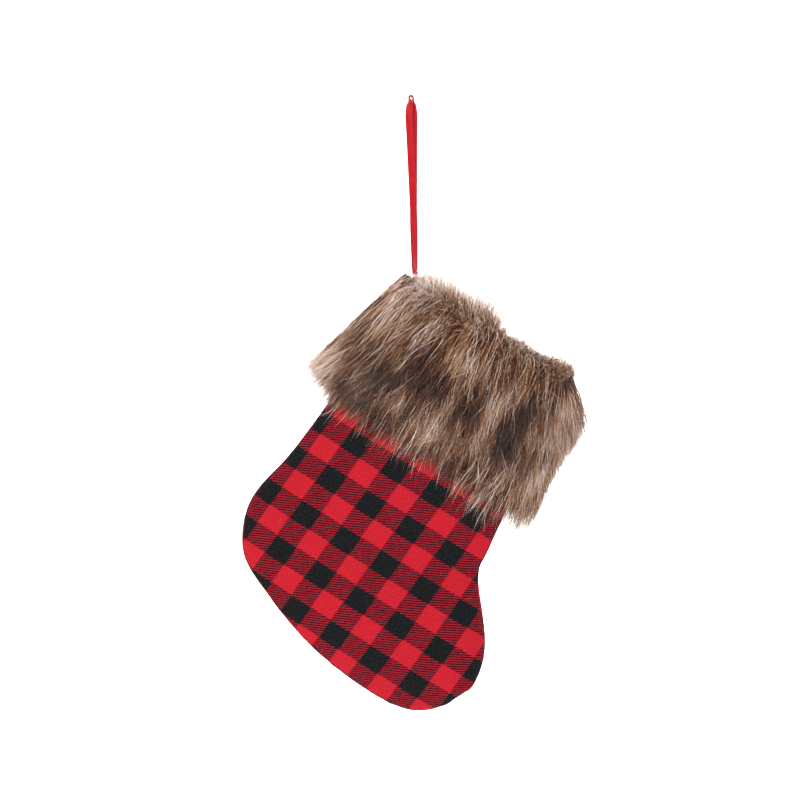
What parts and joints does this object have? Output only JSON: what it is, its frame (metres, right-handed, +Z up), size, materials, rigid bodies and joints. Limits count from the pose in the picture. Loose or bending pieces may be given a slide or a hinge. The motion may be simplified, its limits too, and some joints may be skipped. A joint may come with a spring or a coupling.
{
  "type": "hanging stocking",
  "caption": "Small cloth stocking in a check twill with a long-pile fur cuff, lined, hung from a narrow satin ribbon loop at its heel-side corner.",
  "frame": {"origin": "centre of the hook's bar, in the seat that the top of the ribbon loop makes", "axes": "+Z up, +X towards the toe side, -Y out of the front face"},
  "size_m": [0.1322, 0.032, 0.246],
  "materials": {
    "check_cloth": "matte",
    "lining_cloth": "matte",
    "fur_backing": "matte",
    "fur_pile": "matte",
    "satin_ribbon": "satin",
    "dark_thread": "matte",
    "pale_thread": "matte"
  },
  "bodies": {
    "loop": {"hanging_ribbon": "satin_ribbon"},
    "knot": {"ribbon_knot": "satin_ribbon"},
    "neck": {"ribbon_neck": "satin_ribbon"},
    "stocking": {"front_shell": "check_cloth", "back_shell": "check_cloth", "front_lining": "lining_cloth", "back_lining": "lining_cloth", "cuff_backing_front": "fur_backing", "cuff_backing_back": "fur_backing", "cuff_pile_front": "fur_pile", "cuff_pile_back": "fur_pile", "shell_seam_thread": "dark_thread", "lining_seam_thread": "pale_thread", "cuff_side_threads": "dark_thread", "mouth_threads": "dark_thread", "ribbon_tails": "satin_ribbon", "ribbon_tack_thread": "dark_thread"}
  },
  "joints": [
    {"name": "ribbon_twist", "type": "hinge", "parent": "loop", "child": "knot", "pos_m": [0.0016, 0, -0.06985], "axis": [0, 0, 1], "range_deg": [-180, 180], "stiffness_Nm_per_rad": 0.00001},
    {"name": "stocking_swing", "type": "hinge", "parent": "knot", "child": "neck", "pos_m": [0.0016, 0, -0.07235], "axis": [0, 1, 0], "range_deg": [-45, 45]},
    {"name": "stocking_rock", "type": "hinge", "parent": "neck", "child": "stocking", "pos_m": [0.0016, 0, -0.07235], "axis": [1, 0, 0], "range_deg": [-45, 45]}
  ]
}
